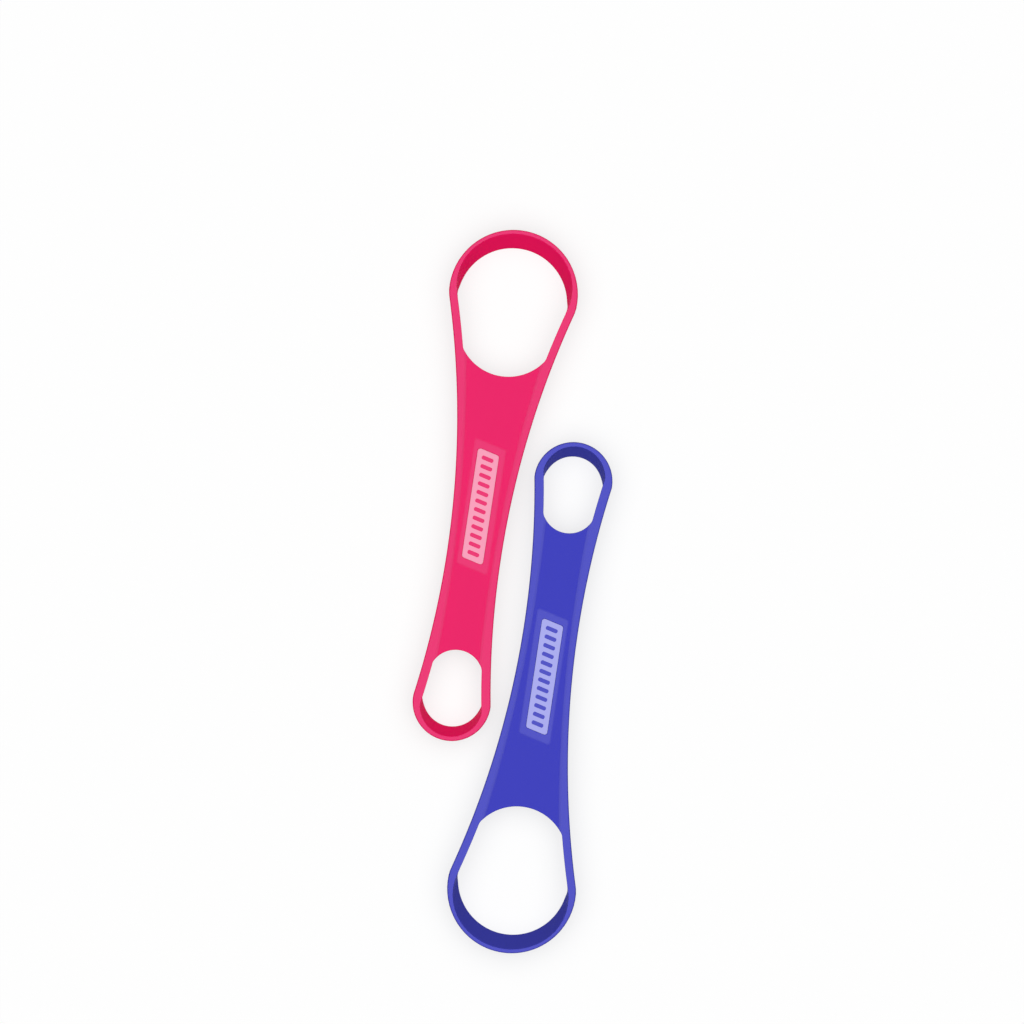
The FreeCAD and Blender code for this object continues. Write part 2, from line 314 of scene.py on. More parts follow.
def corner_circle(end, side, rounding, sign):
    """The circle that rounds the corner between an end circle and the side."""
    return Circle(crossing(grown(end, -rounding), grown(side, rounding), sign), rounding)


def rounded(corners, radii, steps):
    """A line through corners, with each corner between the first and the last rounded."""
    line = [corners[0]]
    for before, corner, after, radius in zip(corners, corners[1:], corners[2:], radii):
        back = (before - corner) / abs(before - corner)
        on = (after - corner) / abs(after - corner)
        half = abs(cmath.phase(on / back)) / 2
        centre = corner + (back + on) / abs(back + on) * radius / math.sin(half)
        start = corner + back * radius / math.tan(half) - centre
        end = corner + on * radius / math.tan(half) - centre
        turn = cmath.phase(end / start)
        line += [centre + start * cmath.rect(1.0, turn * share) for share in shares(steps)]
    return line + [corners[-1]]


def raised(point, z):
    """A point of the plan at height z."""
    return Vector((point.real, point.imag, z))


def mirrored(points):
    """The same points on the other side of the handle's axis."""
    return [Vector((-p.x, p.y, p.z)) for p in points]


def lies_at(vertex, z):
    """Whether a point of a mesh lies at height z."""
    return abs(vertex.co.z - z) < MERGE


class Skin:
    """A mesh that grows strip by strip and is closed at the end."""

    def __init__(self):
        self.mesh = bmesh.new()

    def loft(self, columns, closed=False):
        """Adds a surface through neighbouring lines of points, each with the same number of points."""
        grid = [[self.mesh.verts.new(p) for p in column] for column in columns]
        pairs = list(zip(grid, grid[1:]))
        if closed:
            pairs.append((grid[-1], grid[0]))
        for left, right in pairs:
            for i in range(len(left) - 1):
                self.mesh.faces.new((left[i], left[i + 1], right[i + 1], right[i]))

    def weld(self):
        """Joins the strips where their points meet."""
        bmesh.ops.remove_doubles(self.mesh, verts=self.mesh.verts, dist=MERGE)

    def fill(self, z):
        """Closes the flat opening whose edges lie at height z."""
        edges = [e for e in self.mesh.edges if e.is_boundary and all(lies_at(v, z) for v in e.verts)]
        bmesh.ops.triangle_fill(self.mesh, edges=edges, use_beauty=True, normal=(0.0, 0.0, 1.0))

    def finish(self, name):
        """The finished mesh, closed and facing outwards."""
        bmesh.ops.recalc_face_normals(self.mesh, faces=self.mesh.faces)
        loose = [e for e in self.mesh.edges if not e.is_manifold]
        if loose or self.mesh.calc_volume(signed=True) <= 0.0:
            raise RuntimeError(f"{name} isn't a closed shape: it has {len(loose)} open edges")
        for face in self.mesh.faces:
            face.smooth = True
        mesh = bpy.data.meshes.new(name)
        self.mesh.to_mesh(mesh)
        self.mesh.free()
        return mesh


class Loop:
    """One scraping loop in plan, drawn with its tip up: the edge of its opening, and its lip."""

    def __init__(self, plan, sizes, sign):
        self.plan, self.sizes, self.sign = plan, sizes, sign
        self.side = plan.facing(plan.inner_side, sign)
        tip = plan.half - sizes.tip_rim
        self.lip_top = self.touching(tip, sizes.top_flatness)
        self.lip_edge = self.touching(tip - sizes.lip_reach, sizes.edge_flatness)
        end = plan.half - sizes.web_to_tip
        self.corner = side_point(self.side, end + sizes.web_rise)
        self.web = circle_through(-self.corner.conjugate(), complex(0.0, end), self.corner)
        self.web_corner = corner_circle(self.web, self.side, plan.sizes.corner_round, -1)
        self.shoulder = plan.half - sizes.radius - sizes.shoulder_drop

    def touching(self, tip, flatness):
        """The circle through the tip that just touches both sides, made flatter."""
        side = self.side
        rise = tip - side.centre.imag
        radius = (side.centre.real ** 2 + rise ** 2 - side.radius ** 2) / (2 * (side.radius + rise))
        return Circle(complex(0.0, tip - radius - flatness), radius + flatness)

    def level_circle(self, z):
        """The circle that the inner face of the lip follows at height z."""
        share = z / self.plan.top
        return Circle(mix(self.lip_edge.centre, self.lip_top.centre, share),
                      mix(self.lip_edge.radius, self.lip_top.radius, share))

    def set_stations(self, fields, bevel):
        """Lists the stations along the right half of the edge, from the web's middle to the tip."""
        corner_start = angle_of(self.web, self.web_corner.centre)
        corner_end = angle_of(self.web_corner, self.side.centre)
        seams = [self.seam(field, point.imag, corner_start) for field, point in zip(fields, bevel)]
        seams.reverse()
        before = [Station("web", mix(-math.pi / 2, seams[0].place, s), self.plan.web_top)
                  for s in shares(WEB_STEPS)[:-1]]
        in_corner = seams[-1].kind == "corner"
        start = seams[-1].place if in_corner else corner_start
        after = [("corner", mix(start, corner_end, s)) for s in shares(CORNER_STEPS)[int(in_corner):]]
        for kind, steps in (("side", SIDE_STEPS), ("ball", BALL_STEPS), ("tip", self.sizes.tip_steps)):
            after += [(kind, s) for s in shares(steps)[1:]]
        self.stations = before + seams + [Station(*place, self.plan.top) for place in after]
        self.foot = len(before)
        self.mouth = len(before) + len(seams) - 1

    def seam(self, field, high, corner_start):
        """Where a line of the field's slope meets the edge: in the web's corner, or else on the web."""
        kind, angle = "corner", self.meeting(self.web_corner, field)
        if angle < corner_start:
            kind, angle = "web", self.meeting(self.web, field)
        return Station(kind, angle, high)

    def meeting(self, circle, field):
        """The angle at which a circle of the edge meets a side of the field."""
        soft = self.plan.sizes.soft_edge
        return angle_of(circle, crossing(grown(circle, soft), self.plan.facing(field, self.sign), -1))

    def edge(self, station, z, out=0.0):
        """The point of the edge at a station and height, moved out into the plastic by out."""
        kind, place, _ = station
        if kind == "web":
            return on_circle(self.web, place, out)
        if kind == "corner":
            return on_circle(self.web_corner, place, out)
        lip = self.level_circle(z)
        ball = corner_circle(lip, self.side, lip.radius - self.sizes.corner_centre, 1)
        if kind == "tip":
            return on_circle(lip, mix(angle_of(lip, ball.centre), math.pi / 2, place), out)
        if kind == "ball":
            start, end = angle_of(ball, self.side.centre), angle_of(lip, ball.centre)
            return on_circle(ball, mix(start, end, place), out)
        low = on_circle(self.side, angle_of(self.side, self.web_corner.centre)).imag
        high = on_circle(self.side, angle_of(self.side, ball.centre)).imag
        point = side_point(self.side, mix(low, high, place))
        return on_circle(self.side, angle_of(self.side, point), -out)

    def lip_bottom(self, y):
        """Height of the lip's edge: it dies out into the rim along an arc."""
        fade, drop = self.sizes.lip_fade, self.plan.sizes.lip_drop
        left = min(max(self.shoulder + fade - y, 0.0), fade)
        bend = (fade ** 2 + drop ** 2) / (2 * drop)
        return bend - math.sqrt(bend ** 2 - left ** 2)

    def foot_level(self, station):
        """The level whose circle the lower edge of the lip follows in plan."""
        return self.lip_bottom(self.edge(station, self.plan.sizes.lip_drop).imag)

    def heights(self, station):
        """Heights of the edge above and below."""
        low = self.plan.below(station.high)
        if station.kind not in ("web", "corner"):
            low = min(low, self.lip_bottom(self.edge(station, self.foot_level(station)).imag))
        return station.high, low

    def spot(self, station, z, out):
        """A point at a station and height: the wall leans evenly between its upper and its lower edge."""
        high, low = self.heights(station)
        level = mix(self.foot_level(station), high, (z - low) / (high - low))
        return raised(self.turned(self.edge(station, level, out)), z)

    def turned(self, point):
        """A point of this loop in the scraper's own frame."""
        return complex(point.real, self.sign * point.imag)

    def wall_column(self, station):
        """The opening's wall at a station, from its upper edge to its lower one, both softly rounded."""
        soft = self.plan.sizes.soft_edge
        high, low = self.heights(station)
        angles = [math.pi / 2 * s for s in shares(ROUND_STEPS)]
        quarter = [(soft * (1 - math.sin(a)), soft * (1 - math.cos(a))) for a in angles]
        line = [(out, high - drop) for out, drop in quarter]
        line += [(0.0, mix(high - soft, low + soft, s)) for s in shares(WALL_STEPS)[1:-1]]
        line += [(out, low + drop) for out, drop in reversed(quarter)]
        return [self.spot(station, z, out) for out, z in line]

    def under_column(self, station):
        """The underside at a station, from the opening's lower edge over the lip to the flat of the rim."""
        soft, drop = self.plan.sizes.soft_edge, self.plan.sizes.lip_drop
        _, low = self.heights(station)
        heel = min(low + soft, drop)
        neck = mix(heel, drop, NECK_SHARE)
        root = self.plan.sizes.lip_root
        line = [(soft, low), (soft + SUPPORT, low), (self.lip_wall(low) - soft, low),
                (self.lip_wall(heel) - soft * ROUND_NEAR, mix(low, heel, ROUND_NEAR)),
                (self.lip_wall(heel), heel), (self.lip_wall(neck) + soft * ROUND_NEAR, neck),
                (root + soft, mix(neck, drop, ROUND_FAR)), (root + ROOT_ROUND * soft, drop),
                (root + ROOT_ROUND * soft + SUPPORT, drop)]
        return [self.spot(station, z, out) for out, z in line]

    def lip_wall(self, z):
        """Thickness of the lip at height z."""
        sizes = self.plan.sizes
        return mix(sizes.lip_land, sizes.lip_root, z / sizes.lip_drop)


class ScraperPlan:
    """The curves of one scraper: its outline, the sides of its rims and field, and both loops."""

    def __init__(self, settings):
        self.sizes = settings.handle
        self.panel = settings.panel
        self.half = self.sizes.length / 2
        self.top = self.sizes.top
        self.middle = (self.top + self.sizes.lip_drop) / 2
        self.web_top = self.middle + self.sizes.web_thickness / 2
        self.pad_top = self.web_top + self.panel.height
        self.pocket_floor = self.pad_top - self.panel.pocket
        self.panel_top = self.pocket_floor + self.panel.thickness
        self.waist = complex(self.sizes.waist_width / 2, self.sizes.waist_to_small_tip - self.half)
        self.tips, shoulders = [], []
        for loop, sign in ((settings.large, 1), (settings.small, -1)):
            tip = Circle(complex(0.0, sign * (self.half - loop.radius)), loop.radius)
            self.tips.append(tip)
            across = math.sqrt(loop.radius ** 2 - loop.shoulder_drop ** 2)
            shoulders.append(complex(across, tip.centre.imag - sign * loop.shoulder_drop))
        large, small = shoulders
        self.outer_side = circle_through(large, self.waist, small)
        walls = (settings.large.wall, settings.small.wall)
        self.inner_side = circle_through(large - walls[0], self.waist - sum(walls) / 2, small - walls[1])
        self.balls = [corner_circle(tip, self.outer_side, self.sizes.shoulder_round, sign)
                      for tip, sign in zip(self.tips, (1, -1))]
        self.loops = [Loop(self, settings.large, 1), Loop(self, settings.small, -1)]
        self.bevel = self.bevel_line()
        self.fields = [self.field_side(point.real) for point in self.bevel]
        for loop in self.loops:
            loop.set_stations(self.fields, self.bevel)

    def facing(self, circle, sign):
        """A circle as it is seen with the end that sign names up."""
        return circle if sign > 0 else Circle(circle.centre.conjugate(), circle.radius)

    def below(self, z):
        """The height that lies as far below the middle of the rims as z lies above it."""
        return 2 * self.middle - z

    def field_side(self, inset):
        """The side circle of the field, through the corners of both openings, narrower by inset."""
        large, small = (loop.turned(loop.corner) for loop in self.loops)
        return circle_through(large - inset, self.waist - self.sizes.rim_width - inset, small - inset)

    def bevel_line(self):
        """The slope from the rim down to the field as (inset, height), rounded at its edge and its foot."""
        sizes = self.sizes
        seam, foot = sizes.field_seam, sizes.field_seam + sizes.field_bevel
        corners = [complex(-sizes.field_bevel, self.top), complex(seam, self.top),
                   complex(foot, self.web_top), complex(foot + sizes.field_bevel, self.web_top)]
        return rounded(corners, (sizes.slope_round, sizes.slope_round), ROUND_STEPS)[1:-1]

    def outer_line(self):
        """The outside of a rim as (inset, height), from its top over the parting line to its underside."""
        sizes = self.sizes
        top, middle, low, fine = self.top, self.middle, sizes.lip_drop, 2 * sizes.parting_height
        above = [complex(sizes.edge_round + SUPPORT, top), complex(0.0, top), complex(0.0, middle)]
        under = [complex(0.0, middle), complex(0.0, low), complex(sizes.under_round + SUPPORT, low)]
        ridge = [complex(0.0, middle + fine), complex(-sizes.parting_height, middle),
                 complex(0.0, middle - fine)]
        return (rounded(above, (sizes.edge_round,), OUTER_STEPS)[:-1] + ridge
                + rounded(under, (sizes.under_round,), ROUND_STEPS)[1:])

    def nearest_outline(self, point):
        """The point of the outline nearest to one within it, and the direction inwards there."""
        flip = point.real < 0.0
        place = complex(abs(point.real), point.imag)
        side, circle, inward = self.outer_side, None, 1.0
        for tip, ball, sign in zip(self.tips, self.balls, (1, -1)):
            lean = sign * (angle_of(tip, place) - angle_of(tip, ball.centre))
            past = sign * ((place - side.centre) / (ball.centre - side.centre)).imag
            # Beyond the shoulder's rounding the tip's circle is nearest, and beside it the rounding's
            if lean >= 0.0 and sign * (place - ball.centre).imag > -2 * ball.radius:
                circle, inward = tip, -1.0
            elif past < 0.0:
                circle, inward = ball, -1.0
        circle = circle or side
        angle = angle_of(circle, place)
        found, direction = on_circle(circle, angle), cmath.rect(inward, angle)
        if flip:
            found, direction = -found.conjugate(), -direction.conjugate()
        return found, direction

    def flat_under(self, inner):
        """The flat underside of a rim, from its inner edge most of the way to its outer rounding."""
        found, inward = self.nearest_outline(inner)
        end = found + inward * (self.sizes.under_round + SUPPORT)
        return [raised(mix(inner, end, UNDER_REACH * share), self.sizes.lip_drop)
                for share in shares(UNDER_STEPS)]

    def kept_inside(self, line):
        """A line across the underside, drawn in where its end would pass the rim's outer rounding."""
        kept = []
        least = self.sizes.under_round + SUPPORT
        for point in reversed(line):
            least += SUPPORT
            place = complex(point.x, point.y)
            found, inward = self.nearest_outline(place)
            short = least - ((place - found) / inward).real
            kept.append(raised(place + inward * max(short, 0.0), point.z))
        return kept[::-1]

    def section(self, inner, ledge, under):
        """A line round a rim: from its upper inner edge over the outside to its lower inner edge."""
        foot = complex(under[-1].x, under[-1].y)
        outside = []
        for point in self.outer_line():
            down = (self.top - point.imag) / (self.top - self.sizes.lip_drop)
            found, inward = self.nearest_outline(mix(inner, foot, down))
            outside.append(raised(found + inward * point.real, point.imag))
        return [raised(inner, self.top), raised(ledge, self.top)] + outside + under[::-1]

    def field_point(self, index, share):
        """The point of one line of the bevel, share of the way from the large loop to the small one."""
        ends = []
        for loop in self.loops:
            station = loop.stations[loop.mouth - index]
            ends.append(loop.turned(loop.edge(station, self.top, self.sizes.soft_edge)))
        if share in (0.0, 1.0):
            return ends[int(share)]
        return side_point(self.fields[index], mix(ends[0].imag, ends[1].imag, share))


def rim_columns(plan):
    """Lines round the rim's section, all the way round the scraper."""
    soft = plan.sizes.soft_edge
    handle = []
    for share in shares(plan.sizes.handle_steps)[1:-1]:
        inner = plan.field_point(0, share)
        handle.append(plan.section(inner, inner + SUPPORT, plan.flat_under(inner)))
    ends = []
    for loop in plan.loops:
        half = []
        for station in loop.stations[loop.mouth:]:
            inner, ledge = (loop.turned(loop.edge(station, plan.top, out)) for out in (soft, soft + SUPPORT))
            half.append(plan.section(inner, ledge, plan.kept_inside(loop.under_column(station))))
        ends.append(half + [mirrored(line) for line in reversed(half[:-1])])
    large, small = ends
    return large + [mirrored(line) for line in handle] + small[::-1] + handle[::-1]


# Pieces

def slanted_ring(plan, plate, corner):
    """A ring of points round a plate with straight sides, slanted ends and rounded corners."""
    left, right = plate.middle - plate.width / 2, plate.middle + plate.width / 2
    lean = plate.width / 2 * math.tan(plan.panel.slant)
    points = [complex(left, plate.low + lean), complex(right, plate.low - lean),
              complex(right, plate.high - lean), complex(left, plate.high + lean)]
    ring = []
    for before, point, after in zip(points[-1:] + points, points, points[1:] + points[:1]):
        ring += rounded([before, point, after], (corner,), OUTER_STEPS)[1:-1]
    return ring


def shrunk(plate, sides, ends):
    """A plate drawn in at its sides and ends."""
    return Plate(plate.middle, plate.width - 2 * sides, plate.low + ends, plate.high - ends)


def pad_plate(plan):
    """Place of the pad at its foot."""
    sizes, panel = plan.sizes, plan.panel
    large, small = plan.loops
    width = sizes.waist_width - 2 * (sizes.rim_width + sizes.field_bevel + panel.side_gap)
    low = small.sizes.web_to_tip - plan.half + panel.to_small_web
    high = plan.half - large.sizes.web_to_tip - panel.to_large_web
    return Plate(0.0, width, low, high)


def pocket_plate(plan):
    """Place of the pocket for the panel."""
    panel = plan.panel
    return shrunk(pad_plate(plan), panel.side_margin, panel.end_margin)._replace(middle=-panel.shift)


def plate_rings(plan, plate, corner, line):
    """The rings of a slanted plate's skin, along a line of (inset, height)."""
    return [[raised(p, point.imag) for p in slanted_ring(plan, shrunk(plate, point.real, point.real), corner)]
            for point in line]


def add_openings(skin, plan):
    """The walls of both openings, and the narrow strips where they meet the web above and below."""
    soft = plan.sizes.soft_edge
    for loop in plan.loops:
        right = [loop.wall_column(station) for station in loop.stations]
        skin.loft(right + [mirrored(line) for line in reversed(right[1:-1])], closed=True)
        for level in (plan.web_top, plan.below(plan.web_top)):
            strips = [[raised(loop.turned(loop.edge(station, level, out)), level)
                       for out in (soft, soft + SUPPORT)] for station in loop.stations[:loop.foot]]
            foot = raised(loop.turned(loop.edge(loop.stations[loop.foot], level, soft)), level)
            strips.append([foot, foot])
            skin.loft([mirrored(line) for line in reversed(strips[1:])] + strips)


def add_slopes(skin, plan):
    """The slopes from the rims to the field, on the upper face and on the underside."""
    for level in (lambda z: z, plan.below):
        right = [[raised(plan.field_point(i, share), level(point.imag)) for i, point in enumerate(plan.bevel)]
                 for share in shares(plan.sizes.handle_steps)]
        skin.loft(right)
        skin.loft([mirrored(line) for line in right])


def add_pad(skin, plan):
    """The raised pad in the field, with the shallow pocket for the panel."""
    panel, soft = plan.panel, plan.sizes.slope_round
    base, top, floor = plan.web_top, plan.pad_top, plan.pocket_floor
    slope = rounded([complex(-panel.slope, base), complex(0.0, base), complex(panel.slope, top),
                     complex(2 * panel.slope, top)], (soft, soft), ROUND_STEPS)[1:-1]
    inside = rounded([complex(-panel.edge - SUPPORT, top), complex(0.0, top), complex(0.0, floor)],
                     (panel.edge,), ROUND_STEPS)
    rings = plate_rings(plan, pad_plate(plan), panel.pad_corner, slope)
    rings += plate_rings(plan, pocket_plate(plan), panel.corner, inside)
    skin.loft(list(zip(*rings)), closed=True)


def moulding_mesh(plan):
    """One scraper as a single closed mesh: rims, loops, lips, web and pad, with the grained field marked."""
    skin = Skin()
    skin.loft(rim_columns(plan), closed=True)
    add_openings(skin, plan)
    add_slopes(skin, plan)
    add_pad(skin, plan)
    skin.weld()
    field_levels = (plan.web_top, plan.below(plan.web_top))
    for z in (*field_levels, plan.pocket_floor):
        skin.fill(z)
    mesh = skin.finish("moulding")
    grain = mesh.attributes.new(GRAIN, "FLOAT", "POINT")
    for vertex, mark in zip(mesh.vertices, grain.data):
        mark.value = float(any(lies_at(vertex, z) for z in field_levels))
    return mesh


def panel_mesh(plan):
    """The pale panel, seated on the floor of its pocket with a small gap all round."""
    panel, floor, top = plan.panel, plan.pocket_floor, plan.panel_top
    gap = panel.clearance
    plate = shrunk(pocket_plate(plan), gap, gap)
    line = rounded([complex(0.0, floor), complex(0.0, top), complex(panel.edge + SUPPORT, top)],
                   (panel.edge,), ROUND_STEPS)
    skin = Skin()
    skin.loft(list(zip(*plate_rings(plan, plate, panel.corner - gap, line))), closed=True)
    skin.weld()
    for z in (floor, top):
        skin.fill(z)
    return skin.finish("panel")


def place_of(colour):
    """Where a scraper lies: the middle of its box, with the blue one turned end for end."""
    low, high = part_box(f"{colour}_scraper")
    turn = math.pi if colour == "blue" else 0.0
    middle = Vector(((low.x + high.x) / 2, (low.y + high.y) / 2, 0.0))
    return Matrix.Translation(middle) @ Matrix.Rotation(turn, 4, "Z")


def add_object(name, data):
    """Puts an object in the scene."""
    made = bpy.data.objects.new(name, data)
    bpy.context.scene.collection.objects.link(made)
    return made


def add_piece(name, mesh, colour, material, node=None):
    """Puts a finished mesh in the scene, riding on its scraper, in place of a node of the frame if named."""
    mesh.name = name
    mesh.transform(place_of(colour))
    mesh.materials.clear()
    mesh.materials.append(material)
    piece = add_object(name, mesh)
    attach(piece, colour)
    if node:
        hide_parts(node)


# Materials

WHITE = (1.0, 1.0, 1.0, 1.0)
# Sockets that share their names with others, by place
MATHS_FIRST, MATHS_SECOND = 0, 1
MIX_SHARE, MIX_FIRST, MIX_SECOND, MIX_RESULT = 0, 6, 7, 2
SHADER_SHARE, SHADER_FIRST, SHADER_SECOND = 0, 1, 2

# Noise, in features a metre
FLOW_SCALE, GRAIN_SCALE, SPECK_SCALE = 260.0, 4200.0, 1500.0
TOOTH_SCALE, CLOUD_SCALE, FLOOR_SCALE = 5200.0, 330.0, 60.0
NOISE_ROUGHNESS, SOFT_DETAIL, FINE_DETAIL = 0.55, 3.0, 2.0
FLOW_STRETCH = (1.0, 0.3, 1.0)

# A face counts as a wall, and takes the wall tone's painted shade, while the square of its normal's upward
# part is below the first, and as level from the second on; the gloss and the rim tone's painted highlight
# come in between these shares of the way from the web up to the rims
WALL_UP_TO, LEVEL_FROM = 0.40, 0.75
POLISH_AND_HIGHLIGHT_START, POLISH_AND_HIGHLIGHT_FULL = 0.05, 0.6

# What is left of a surface's light where its marks are darkest, and how strong each kind of mark is
PLASTIC_DARKEST, FILM_DARKEST, FLOOR_DARKEST = 0.93, 0.88, 0.99
FLOW_MARKS, GRAIN_MARKS, CLOUD_MARKS, TOOTH_MARKS, FLOOR_MARKS = 0.5, 0.3, 0.35, 0.15, 0.4

# Reflection and relief of the moulded plastic and of the film
PLASTIC_ROUGHNESS, POLISH_SMOOTHS, SPECK_ROUGHENS, GRAIN_ROUGHENS = 0.46, 0.16, 0.08, 0.06
LEVEL_COAT, POLISH_COAT, COAT_ROUGHNESS = 0.20, 0.29, 0.22
PLASTIC_SPECULAR, PLASTIC_RELIEF, PLASTIC_DEPTH, SPECK_RELIEF = 0.015, 0.35, 0.02 * MM, 0.25
FILM_ROUGHNESS, TOOTH_ROUGHENS = 0.50, 0.12
FILM_SPECULAR, FILM_RELIEF, FILM_DEPTH = 0.12, 0.25, 0.01 * MM

# Share of the floor's look that is an even white of its own; the rest takes the light and the shadow
FLOOR_GLOW = 0.7


class Value:
    """A value in a node tree; Python's operators on values add Math nodes to it."""

    def __init__(self, nodes, socket):
        self.nodes = nodes
        self.socket = socket

    def maths(self, operation, first, second=0.0):
        """A Math node of two values or numbers."""
        inputs = {MATHS_FIRST: first, MATHS_SECOND: second}
        return self.nodes.node("ShaderNodeMath", {"operation": operation}, inputs)

    def __add__(self, other):
        return self.maths("ADD", self, other)

    def __mul__(self, other):
        return self.maths("MULTIPLY", self, other)

    def __sub__(self, other):
        return self.maths("SUBTRACT", self, other)

    def __rsub__(self, other):
        return self.maths("SUBTRACT", other, self)

    def __truediv__(self, other):
        return self.maths("DIVIDE", self, other)

    def __rtruediv__(self, other):
        return self.maths("DIVIDE", other, self)

    def __pow__(self, other):
        return self.maths("POWER", self, other)

    def __rpow__(self, other):
        return self.maths("POWER", other, self)

    def __abs__(self):
        return self.maths("ABSOLUTE", self)

    __radd__ = __add__
    __rmul__ = __mul__


class Nodes:
    """A node tree, built node by node."""

    def __init__(self, tree):
        self.tree = tree
        tree.nodes.clear()

    def node(self, kind, settings=None, inputs=None, output=0):
        """Adds a node: its settings first, then its sockets' values or links. Gives one output, if any."""
        node = self.tree.nodes.new(kind)
        for name, value in (settings or {}).items():
            setattr(node, name, value)
        for key, value in (inputs or {}).items():
            if isinstance(value, Value):
                self.tree.links.new(value.socket, node.inputs[key])
            else:
                node.inputs[key].default_value = value
        return Value(self, node.outputs[output]) if node.outputs else None

    def vector(self, x=0.0, y=0.0, z=0.0):
        """A vector of three values or numbers."""
        return self.node("ShaderNodeCombineXYZ", None, {"X": x, "Y": y, "Z": z})


class Finish(Nodes):
    """A procedural material."""

    def __init__(self, name):
        self.material = bpy.data.materials.new(name)
        self.material.use_nodes = True
        super().__init__(self.material.node_tree)

    def coordinates(self, kind="Object"):
        """The piece's own coordinates in metres, or its own normal."""
        return self.node("ShaderNodeTexCoord", output=kind)

    def upward(self, vector):
        """The upward part of a vector."""
        return self.node("ShaderNodeSeparateXYZ", None, {"Vector": vector}, output="Z")

    def noise(self, place, scale, detail):
        """Soft noise from 0 to 1, with features of about 1 / scale metres."""
        return self.node("ShaderNodeTexNoise", {"noise_dimensions": "3D"},
                         {"Vector": place, "Scale": scale, "Detail": detail, "Roughness": NOISE_ROUGHNESS})

    def blend(self, share, first, second):
        """A colour share of the way from the first to the second."""
        inputs = {MIX_SHARE: share, MIX_FIRST: first, MIX_SECOND: second}
        return self.node("ShaderNodeMix", {"data_type": "RGBA"}, inputs, output=MIX_RESULT)

    def shaded(self, share, colour, darkest):
        """A colour that a share darkens, at the most to darkest times its light."""
        return self.blend(share, (*colour, 1.0), (*(part * darkest for part in colour), 1.0))

    def step(self, value, low, high):
        """A smooth step from 0 to 1 as a value goes from low to high."""
        return self.node("ShaderNodeMapRange", {"interpolation_type": "SMOOTHSTEP"},
                         {"Value": value, "From Min": low, "From Max": high})

    def bump(self, strength, depth, height):
        """A normal that follows a fine relief."""
        return self.node("ShaderNodeBump", None, {"Strength": strength, "Distance": depth, "Height": height})

    def surface(self, kind, inputs):
        """Ends the material in a shader, and gives the material."""
        self.node("ShaderNodeOutputMaterial", None, {"Surface": self.node(kind, None, inputs)})
        return self.material


def moulded_plastic(name, shade_own_highlight_tones, plan):
    """Satin polypropylene: glossy rims and pad, a finely grained field, matt walls and faint flow marks; the
    rims and pad get a lighter tone, a painted highlight, and the walls a deeper one, painted shade.
    """
    finish = Finish(name)
    place = finish.coordinates()
    height = finish.upward(place)
    facing = finish.upward(finish.coordinates("Normal"))
    level = finish.step(facing * facing, WALL_UP_TO, LEVEL_FROM)
    polish_and_highlight_heights = (mix(plan.web_top, plan.top, share) for share in (POLISH_AND_HIGHLIGHT_START, POLISH_AND_HIGHLIGHT_FULL))
    polish_and_highlight = level * finish.step(height, *polish_and_highlight_heights)
    grained = finish.node("ShaderNodeAttribute", {"attribute_name": GRAIN}, output="Fac")
    along = finish.node("ShaderNodeMapping", None, {"Vector": place, "Scale": FLOW_STRETCH})
    flow = finish.noise(along, FLOW_SCALE, SOFT_DETAIL)
    grain = finish.noise(place, GRAIN_SCALE, FINE_DETAIL)
    speck = finish.noise(place, SPECK_SCALE, FINE_DETAIL)
    marks = FLOW_MARKS * flow + GRAIN_MARKS * grain * grained
    # Three tones of one plastic: the wall tone is painted shade, the rim tone a painted highlight, the field
    # tone its own colour
    wall, field, rim = (finish.shaded(marks, tone, PLASTIC_DARKEST) for tone in shade_own_highlight_tones)
    roughness = (PLASTIC_ROUGHNESS - POLISH_SMOOTHS * polish_and_highlight + SPECK_ROUGHENS * speck
                 + GRAIN_ROUGHENS * grained * grain)
    return finish.surface("ShaderNodeBsdfPrincipled", {
        # Base colour: painted shade on the walls, a painted highlight on the level tops of rims and pad, the
        # field's own tone between
        "Base Color": finish.blend(level, wall, finish.blend(polish_and_highlight, field, rim)),
        "Roughness": roughness,
        "Coat Weight": LEVEL_COAT * level + POLISH_COAT * polish_and_highlight,
        "Coat Roughness": COAT_ROUGHNESS,
        "Specular IOR Level": PLASTIC_SPECULAR,
        "Normal": finish.bump(PLASTIC_RELIEF, PLASTIC_DEPTH, grained * grain + SPECK_RELIEF * speck)})


def panel_film(name, colour):
    """Matt film of the panel, with a fine tooth and a faint unevenness of colour."""
    finish = Finish(name)
    place = finish.coordinates()
    tooth = finish.noise(place, TOOTH_SCALE, FINE_DETAIL)
    cloud = finish.noise(place, CLOUD_SCALE, SOFT_DETAIL)
    marks = CLOUD_MARKS * cloud + TOOTH_MARKS * tooth
    return finish.surface("ShaderNodeBsdfPrincipled", {
        "Base Color": finish.shaded(marks, colour, FILM_DARKEST),
        "Roughness": FILM_ROUGHNESS + TOOTH_ROUGHENS * tooth,
        "Specular IOR Level": FILM_SPECULAR,
        "Normal": finish.bump(FILM_RELIEF, FILM_DEPTH, tooth)})


def seen_directly(nodes):
    """1 for what the camera sees, straight or in a reflection or through glass, and 0 for other light."""
    camera, glossy, through = (nodes.node("ShaderNodeLightPath", output=f"Is {ray} Ray")
                               for ray in ("Camera", "Glossy", "Transmission"))
    return nodes.node("ShaderNodeClamp", None, {"Value": camera + glossy + through})


